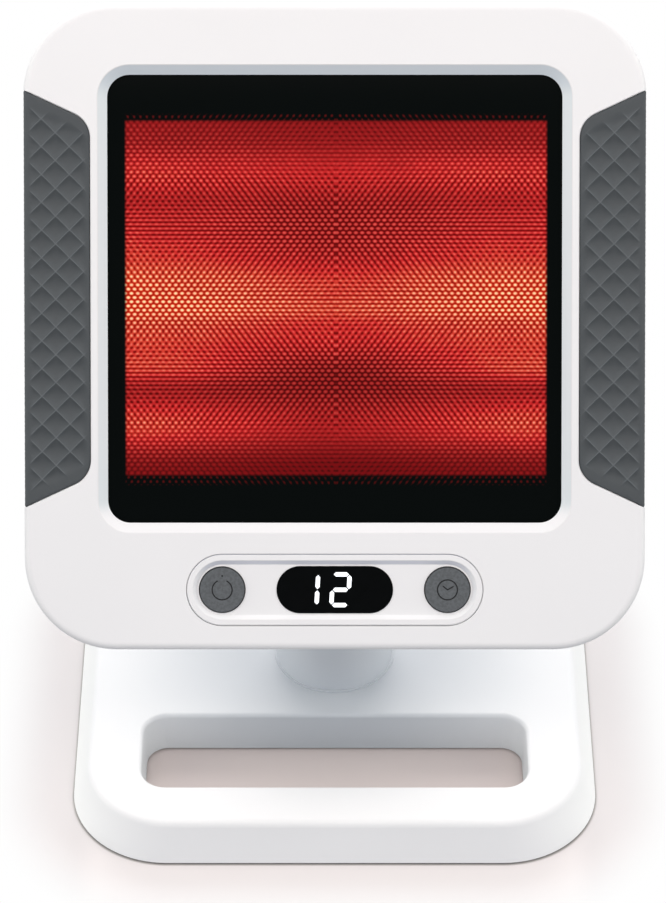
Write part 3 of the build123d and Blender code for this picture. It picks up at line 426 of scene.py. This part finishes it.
segmentLook = {"evenScale": 400.0, "colours": ((0.90, 0.95, 1.0), (1.0, 1.0, 1.0)), "body": (0.6, 0.62, 0.65)}
wireLook = {"coilScale": 220.0, "colours": ((0.8, 0.12, 0.01), (1.0, 0.45, 0.08)), "body": (0.3, 0.1, 0.05)}


def litPiece(name, look):  # an even light, or the bands of a coil
    material, tree, shader, coords = startMaterial(name)
    if "coilScale" in look:
        coil = tree.nodes.new("ShaderNodeTexWave")
        coil.inputs["Scale"].default_value = look["coilScale"]
        tree.links.new(coords, coil.inputs["Vector"])
        pattern = coil.outputs["Fac"]
    else:
        pattern = noise(tree, coords, look["evenScale"])
    tree.links.new(mixColours(tree, pattern, *look["colours"]), shader.inputs["Emission Color"])
    shader.inputs["Emission Strength"].default_value = 1.0
    shader.inputs["Base Color"].default_value = (*look["body"], 1)
    return material


quartzLook = {"scale": 160.0, "colours": ((0.92, 0.90, 0.88), (1, 1, 1)), "clear": 0.9, "roughness": 0.03}


def clearQuartz(name, look):
    material, tree, shader, coords = startMaterial(name)
    tone = noise(tree, coords, look["scale"])
    tree.links.new(mixColours(tree, tone, *look["colours"]), shader.inputs["Base Color"])
    shader.inputs["Transmission Weight"].default_value = look["clear"]
    shader.inputs["Roughness"].default_value = look["roughness"]
    return material


boardLook = {
    "cellScale": 90.0,
    "colours": {"Color1": (0.02, 0.15, 0.05), "Color2": (0.03, 0.19, 0.07), "Mortar": (0.05, 0.30, 0.12)},
    "roughness": 0.4,
}


def circuitBoard(name, look):
    material, tree, shader, coords = startMaterial(name)
    cells = tree.nodes.new("ShaderNodeTexBrick")
    cells.inputs["Scale"].default_value = look["cellScale"]
    for socket, colour in look["colours"].items():
        cells.inputs[socket].default_value = (*colour, 1)
    tree.links.new(coords, cells.inputs["Vector"])
    tree.links.new(cells.outputs["Color"], shader.inputs["Base Color"])
    shader.inputs["Roughness"].default_value = look["roughness"]
    return material


# each grip is a wrapped sheet with dished diamonds between thin ribs
grip = {
    "innerX": 102.3,  # mm from the head's middle
    "endHalf": 87.0,
    "endSlope": 25.0,  # degrees
    "corner": 10.8,
    "cornerCuts": 12,  # straight cuts that round a corner
    "foldCuts": 6,  # and that follow the fold over the head's edge
    "sideDepth": 28.0,
    "cellCount": 26,  # diamonds each way, before the outline is cut
    "cellAcross": 5.85,  # half diagonals of a diamond
    "cellUp": 5.78,
    "middleX": 116.5,  # a column of crossings
    "ribHeight": 0.12,
    "ribWidth": 0.045,  # share of a diamond's side
    "dish": 1.25,
    "dishLean": 0.65,  # how far the hollow lies toward a diamond's top
    "facetReach": 0.4,  # share of a diamond that its shade or glint covers
    "innerFade": (1.0, 2.2),  # mm from the outline where the relief starts, and over which it grows
    "endFade": (4.5, 3.0),
    "edgeFade": 1.5,
    "edgeBand": (0.9, 0.5),  # plain band before and after the rounded edge
    "rimInset": 0.45,
    "rimDrop": 0.35,
    "creaseAngle": 38.0,  # degrees, from which an edge stays sharp
    "steps": (0.0, 0.02, 0.05, 0.14, 0.3, 0.5, 0.7, 0.86, 0.95, 0.98),  # of grid lines in a diamond
}
flatEnd = head["width"] / 2 - head["edgeRadius"] - grip["innerX"]
arcEnd = flatEnd + head["edgeRadius"] * pi / 2
sheetWidth = arcEnd + grip["sideDepth"] - head["edgeRadius"]


def gripPoint(along, height, drop):  # a point of the sheet, wrapped round the head's edge
    radius = head["edgeRadius"]
    edgeX = head["width"] / 2
    if along < flatEnd:
        return Vector((grip["innerX"] + along, drop, height))
    if along < arcEnd:
        angle = (along - flatEnd) / radius
        across, depth = (radius - drop) * sin(angle), (radius - drop) * cos(angle)
        return Vector((edgeX - radius + across, radius - depth, height))
    return Vector((edgeX - drop, radius + along - arcEnd, height))


def gripCuts():  # the outline, as lines with outward normals; it is convex
    slope = radians(grip["endSlope"])
    corner = grip["corner"]
    innerHalf = grip["endHalf"] - (head["width"] / 2 - grip["innerX"]) * tan(slope)
    middle = Vector((corner, innerHalf - corner * (1 / cos(slope) - tan(slope))))
    cuts = [((0, 0), (-1, 0)), ((sheetWidth, 0), (1, 0))]
    for side in (-1, 1):
        cuts.append(((sheetWidth, side * grip["endHalf"]), (0, side)))
        cuts.append(((0, side * innerHalf), (-sin(slope), side * cos(slope))))
        for step in range(grip["cornerCuts"]):
            angle = (pi / 2 - slope) * (step + 0.5) / grip["cornerCuts"]
            normal = (-cos(angle), side * sin(angle))
            cuts.append(((middle.x + corner * normal[0], side * middle.y + corner * normal[1]), normal))
        for step in range(1, grip["foldCuts"]):
            angle = pi / 2 * step / grip["foldCuts"]
            along = flatEnd + head["edgeRadius"] * angle
            height = grip["endHalf"] - (1 - sin(angle)) * head["edgeRadius"] * tan(slope)
            rise = cos(angle) * tan(slope)
            length = (1 + rise * rise) ** 0.5
            cuts.append(((along, side * height), (-rise / length, side / length)))
    return [(Vector(point), Vector(normal)) for point, normal in cuts]


def easeIn(value, start, width):
    share = min(max((value - start) / width, 0.0), 1.0)
    return share * share * (3 - 2 * share)


def gripRelief(along, height, edgeGap):
    across = (along - (grip["middleX"] - grip["innerX"])) / grip["cellAcross"]
    up = (height - head["windowRise"]) / grip["cellUp"]
    relief = 1.0
    ribs = 0.0
    tilt = 0.0  # -1 at a diamond's foot, 1 at its top
    # painted shade near a diamond's upper edges, painted highlight near its lower ones
    shade = glint = 0.0
    for share, sign in (((across + up) / 2, 1), ((across - up) / 2, -1)):
        gap = abs(share - round(share))  # 0 on a rib, 0.5 halfway to the next
        relief *= 4 * gap * (1 - gap)
        ribs = max(ribs, 1 - min(gap / grip["ribWidth"], 1.0))
        tilt += sign * (share - floor(share))
        gap = (share - floor(share)) if sign < 0 else 1 - (share - floor(share))  # from the diamond's upper side
        shade = max(shade, 1 - gap / grip["facetReach"])
        glint = max(glint, 1 - (1 - gap) / grip["facetReach"])
    relief *= 1 + grip["dishLean"] * tilt
    fade = easeIn(edgeGap, *grip["innerFade"])
    endTop = grip["endHalf"] - max(0, head["width"] / 2 - grip["innerX"] - along) * tan(radians(grip["endSlope"]))
    fade *= easeIn(endTop - abs(height - head["windowRise"]), *grip["endFade"])
    before, after = grip["edgeBand"]
    width = grip["edgeFade"]
    fade *= 1 - easeIn(along, flatEnd - before, width) * (1 - easeIn(along, arcEnd + after, width))
    return fade * relief, fade * ribs, fade * (glint - shade)


def diamondGrid(bm):  # a grid turned to run along the ribs, with more lines close to them
    cells = grip["cellCount"]
    lines = len(grip["steps"])
    bmesh.ops.create_grid(bm, x_segments=cells * lines, y_segments=cells * lines, size=0.5)
    low = min(vert.co.x for vert in bm.verts)
    span = max(vert.co.x for vert in bm.verts) - low
    for vert in bm.verts:
        places = []
        for value in vert.co.xy:
            line = round((value - low) / span * cells * lines)
            places.append(line // lines + grip["steps"][line % lines] - cells / 2)
        along = grip["middleX"] - grip["innerX"] + (places[0] + places[1] + 2) * grip["cellAcross"]
        vert.co = (along, (places[0] - places[1]) * grip["cellUp"], 0)


def makeGrip(name, side, material):
    bm = bmesh.new()
    rib = bm.verts.layers.float.new("rib")
    paintedFacetShade = bm.verts.layers.float.new("paintedFacetShade")
    diamondGrid(bm)
    cuts = gripCuts()
    for rim in (0.0, grip["rimInset"]):  # the outline, then the line where the rim starts
        for point, normal in cuts:
            everything = bm.verts[:] + bm.edges[:] + bm.faces[:]
            bmesh.ops.bisect_plane(bm, geom=everything, dist=0.0001, clear_outer=rim == 0.0,
                                   plane_co=(*(point - normal * rim), 0), plane_no=(*normal, 0))
    outer = []
    for vert in bm.verts:
        along, height = vert.co.x, vert.co.y + head["windowRise"]
        edgeGap = min((point - vert.co.xy).dot(normal) for point, normal in cuts)
        relief, vert[rib], vert[paintedFacetShade] = gripRelief(along, height, edgeGap)
        drop = grip["ribHeight"] * (1 - vert[rib]) + grip["dish"] * relief
        drop += grip["rimDrop"] * max(1 - edgeGap / grip["rimInset"], 0.0)
        outer.append((vert, along, height, drop))
    walls = bmesh.ops.extrude_face_region(bm, geom=bm.faces[:], use_keep_orig=True)
    thickness = head["gripThickness"]
    for vert in walls["geom"]:
        if isinstance(vert, bmesh.types.BMVert):
            point = gripPoint(vert.co.x, vert.co.y + head["windowRise"], 0)
            vert.co = (min(point.x, head["width"] / 2 - thickness), max(point.y, thickness), point.z)
    for vert, along, height, drop in outer:
        vert.co = gripPoint(along, height, drop)
    bmesh.ops.scale(bm, vec=(side * mm, mm, mm), verts=bm.verts[:])
    bmesh.ops.transform(bm, matrix=faceToRest, verts=bm.verts[:])
    bmesh.ops.remove_doubles(bm, verts=bm.verts[:], dist=0.002 * mm)
    bmesh.ops.recalc_face_normals(bm, faces=bm.faces[:])
    for face in bm.faces:
        face.smooth = True
    for edge in bm.edges:
        edge.smooth = len(edge.link_faces) != 2 or edge.calc_face_angle() < radians(grip["creaseAngle"])
    return placePiece(bm, name, material)


def placePiece(bm, name, material):
    mesh = bpy.data.meshes.new(name)
    bm.to_mesh(mesh)
    bm.free()
    mesh.materials.append(material)
    piece = bpy.data.objects.new(name, mesh)
    bpy.context.collection.objects.link(piece)
    return piece


gripRubber = {
    "colour": (0.074, 0.083, 0.089),
    "cloud": 0.07,
    "cloudScale": 500.0,
    "facetShadingShare": 0.16,  # how much painted highlight lightens and painted shade darkens the facets
    # lighter rib tops: painted highlight
    "ribHighlight": (0.150, 0.168, 0.178),
    "ribShare": 0.75,
    "roughness": 0.62,
    "gloss": 0.3,
    "grainScale": 1500.0,
    "grain": 0.03,
}


# painted shade under each diamond's upper edges, painted highlight toward its lower edges and on the ribs
def ribbedRubber(name, look):
    material, tree, shader, coords = startMaterial(name)
    marks = {}
    for mark in ("rib", "paintedFacetShade"):
        attribute = tree.nodes.new("ShaderNodeAttribute")
        attribute.attribute_name = mark
        marks[mark] = attribute.outputs["Fac"]
    tone = noise(tree, coords, look["cloudScale"], 3.0)
    body = mixColours(tree, tone, shaded(look["colour"], 1 - look["cloud"]), look["colour"])
    highlitFacet = shaded(look["colour"], 1 + look["facetShadingShare"])
    shadedFacet = shaded(look["colour"], 1 - look["facetShadingShare"])
    body = mixColours(tree, smoothRange(tree, marks["paintedFacetShade"], 0.0, 1.0), body, highlitFacet)
    body = mixColours(tree, smoothRange(tree, marks["paintedFacetShade"], -1.0, 0.0, 1.0, 0.0), body, shadedFacet)
    body = mixColours(tree, product(tree, marks["rib"], look["ribShare"]), body, look["ribHighlight"])
    tree.links.new(body, shader.inputs["Base Color"])
    shader.inputs["Roughness"].default_value = look["roughness"]
    shader.inputs["Specular IOR Level"].default_value = look["gloss"]
    addBump(tree, shader, noise(tree, coords, look["grainScale"]), look["grain"] * mm)
    return material


rubberSkin = ribbedRubber("ribbedRubber", gripRubber)
for name, side in (("grip_left_relief", -1), ("grip_right_relief", 1)):
    piece = makeGrip(name, side, rubberSkin)
    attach(piece, "head")
    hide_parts(name.replace("_relief", ""))
    print("grip", name, len(piece.data.polygons), "faces")

finishes = {
    "white_shell": mouldedPlastic("whiteShell", whitePlastic),
    "button_grey": sunkIcon("buttonGrey", buttonLook),
    "black_glass": glowingGlass(),
    "display_black": displayGlass("displayGlass", displayLook),
    "digit_white": litPiece("litSegments", segmentLook),
    "black_rubber": mouldedPlastic("blackRubber", blackRubber),
    "zinc_steel": metalFinish("zincSteel", zincSteel),
    "polished_aluminium": metalFinish("brightAluminium", brightAluminium),
    "quartz": clearQuartz("clearQuartz", quartzLook),
    "heater_wire": litPiece("hotWire", wireLook),
    "white_ceramic": mouldedPlastic("whiteCeramic", ceramic),
    "thermostat_black": mouldedPlastic("blackPlastic", darkPlastic),
    "transformer_yellow": mouldedPlastic("coilTape", coilTape),
    "board_green": circuitBoard("circuitBoard", boardLook),
    "bushing_brass": metalFinish("turnedBrass", turnedBrass),
    "friction_grey": mouldedPlastic("nylon", nylon),
    "base_plate_grey": mouldedPlastic("powderCoat", powderCoat),
    "grip_grey": rubberSkin,
}
ownFinish = {  # of single pieces, in place of their slot's
    "front_frame": slopeShadedPlastic("whiteFrame", whitePlastic, frameSlopeShading),
    "control_strip": slopeShadedPlastic("whiteStrip", whitePlastic, stripSlopeShading),
    "base_housing": standPlasticShadedAtColumn("basePaintedLightAndShade", litBasePlastic, shadedColumnPlastic),
    "neck_cover": mouldedPlastic("columnPaintedShade", shadedColumnPlastic),
}
for part in frame["record"]["subparts"]:
    solid = frame["nodes"][part["node"]]
    for materialSlot in solid.material_slots:
        materialSlot.material = ownFinish.get(part["node"], finishes[part["material_slot"]])

floorLook = {  # lengths in m, gaps counted from the base's outline
    "size": 8.0,
    # pinkish round the base: painted shadow
    "colour": (0.90, 0.855, 0.845),
    # darker beside the base: painted shadow
    "besideShadow": (0.80, 0.765, 0.76),
    "slotShadow": (0.745, 0.66, 0.635),  # painted shadow of the base, seen through the handle slot
    "contactShadow": (0.42, 0.40, 0.385),  # painted contact shadow right under the base's rim
    "bounce": (0.29, 0.29, 0.30),  # what other surfaces get back from it
    "besideBounce": (0.90, 0.90, 0.86),  # the same, close beside the base
    "frontBounce": (0.55, 0.55, 0.56),  # and close in front of it
    "slotGap": (-0.014, -0.008),  # where the painted shadow in the slot ends
    "rimGap": (-0.0002, 0.0012),  # where the painted contact shadow under the rim ends
    "whiteGap": (0.006, 0.04),  # where the floor turns white
    "closeGap": (0.03, 0.09),  # where the stronger bounce ends
    "besideX": (0.104, 0.118),
    "frontY": (0.075, 0.09),
    "baseHalf": (0.1185, 0.095),
    "baseMiddle": (0.0, 0.0024),
    "baseCorner": 0.0435,
}


def seenPlainly(tree):  # 1 for the camera, for gloss and through clear pieces
    path = tree.nodes.new("ShaderNodeLightPath").outputs
    reflected = calc(tree, "MAXIMUM", path["Is Glossy Ray"], path["Is Transmission Ray"])
    return calc(tree, "MAXIMUM", path["Is Camera Ray"], reflected)


def gapFromBase(tree, places):  # distance from a rounded rectangle, below 0 inside it
    corner = floorLook["baseCorner"]
    gaps = []
    for place, half, middle in zip(places, floorLook["baseHalf"], floorLook["baseMiddle"]):
        offset = calc(tree, "ABSOLUTE", calc(tree, "SUBTRACT", place, middle))
        gap = calc(tree, "MAXIMUM", calc(tree, "SUBTRACT", offset, half - corner), 0.0)
        gaps.append(product(tree, gap, gap))
    return calc(tree, "SUBTRACT", calc(tree, "SQRT", calc(tree, "ADD", *gaps)), corner)


def floorFinish(name, look):
    material, tree, shader, coords = startMaterial(name)
    parts = tree.nodes.new("ShaderNodeSeparateXYZ")
    tree.links.new(coords, parts.inputs["Vector"])
    x, y = parts.outputs["X"], parts.outputs["Y"]
    distance = gapFromBase(tree, (x, y))
    close = smoothRange(tree, distance, *look["closeGap"], 1.0, 0.0)
    beside = smoothRange(tree, calc(tree, "ABSOLUTE", x), *look["besideX"])
    inFront = smoothRange(tree, product(tree, y, -1.0), *look["frontY"])
    back = mixColours(tree, product(tree, inFront, close), look["bounce"], look["frontBounce"])
    back = mixColours(tree, product(tree, beside, close), back, look["besideBounce"])
    # painted shadows on the floor: in the slot, under the rim and round the base
    contact = smoothRange(tree, distance, *look["slotGap"])
    under = mixColours(tree, contact, look["slotShadow"], look["contactShadow"])
    around = mixColours(tree, beside, look["colour"], look["besideShadow"])
    near = mixColours(tree, smoothRange(tree, distance, *look["rimGap"]), under, around)
    diffuse = tree.nodes.new("ShaderNodeBsdfDiffuse")
    path = tree.nodes.new("ShaderNodeLightPath")
    tree.links.new(mixColours(tree, path.outputs["Is Camera Ray"], back, near), diffuse.inputs["Color"])
    mix = tree.nodes.new("ShaderNodeMixShader")
    away = smoothRange(tree, distance, *look["whiteGap"])
    tree.links.new(product(tree, away, seenPlainly(tree)), mix.inputs["Fac"])
    tree.links.new(diffuse.outputs[0], mix.inputs[1])
    tree.links.new(tree.nodes.new("ShaderNodeEmission").outputs[0], mix.inputs[2])
    tree.links.new(mix.outputs[0], tree.nodes["Material Output"].inputs["Surface"])
    tree.nodes.remove(shader)
    return material


bm = bmesh.new()
bmesh.ops.create_grid(bm, x_segments=1, y_segments=1, size=floorLook["size"] / 2)
studioFloor = placePiece(bm, "floor", floorFinish("paleFloor", floorLook))

skyColour = (0.59, 0.622, 0.674)


def makeSky():
    world = bpy.data.worlds.new("studio")
    bpy.context.scene.world = world
    world.use_nodes = True
    tree = world.node_tree
    background = tree.nodes["Background"]
    colour = mixColours(tree, seenPlainly(tree), skyColour, (1.0, 1.0, 1.0))
    tree.links.new(colour, background.inputs["Color"])
    background.inputs["Strength"].default_value = 1.0


makeSky()

# soft boxes: size and place in m, power in W, aim is the height they point at
sideBox = {"size": (1.0, 1.0), "power": 3.7, "colour": (1.0, 0.98, 0.86), "aim": 0.15}
lamps = {
    "softboxFront": {"size": (1.2, 0.8), "power": 6.75, "colour": (1.0, 0.87, 0.78), "aim": 0.1,
                     "place": (0.0, -0.55, 1.35)},
    "softboxBack": {"size": (1.4, 0.8), "power": 8.9, "colour": (1.0, 0.96, 0.93), "aim": 0.1,
                    "place": (0.0, 1.1, 0.9)},
    "softboxLeft": dict(sideBox, place=(-1.316, 0.0, 0.629)),
    "softboxRight": dict(sideBox, place=(1.316, 0.0, 0.629)),
}


def softLight(name, look):
    lamp = bpy.data.lights.new(name, "AREA")
    lamp.shape = "RECTANGLE"
    lamp.size, lamp.size_y = look["size"]
    lamp.energy = look["power"]
    lamp.color = look["colour"]
    item = bpy.data.objects.new(name, lamp)
    bpy.context.collection.objects.link(item)
    item.location = look["place"]
    aim = Vector((0, 0, look["aim"])) - Vector(look["place"])
    item.rotation_euler = aim.to_track_quat("-Z", "Y").to_euler()


for name, look in lamps.items():
    softLight(name, look)

view = {
    "elevation": 41.0,
    "place": (-0.00075, -1.1959, 1.2032),
    "focal": 3636.0,  # in dots of the picture
    "pictureHeight": 903.0,
    "sensor": 36.0,
    "clipStart": 0.05,
}
camera = bpy.data.cameras.new("camera")
camera.sensor_width = view["sensor"]
camera.lens = view["sensor"] * view["focal"] / view["pictureHeight"]
camera.clip_start = view["clipStart"]
cameraItem = bpy.data.objects.new("camera", camera)
bpy.context.collection.objects.link(cameraItem)
cameraItem.location = view["place"]
cameraItem.rotation_euler = (radians(90 - view["elevation"]), 0, 0)
bpy.context.scene.camera = cameraItem
bpy.context.scene.view_settings.view_transform = "Standard"
print("floor, light and camera")
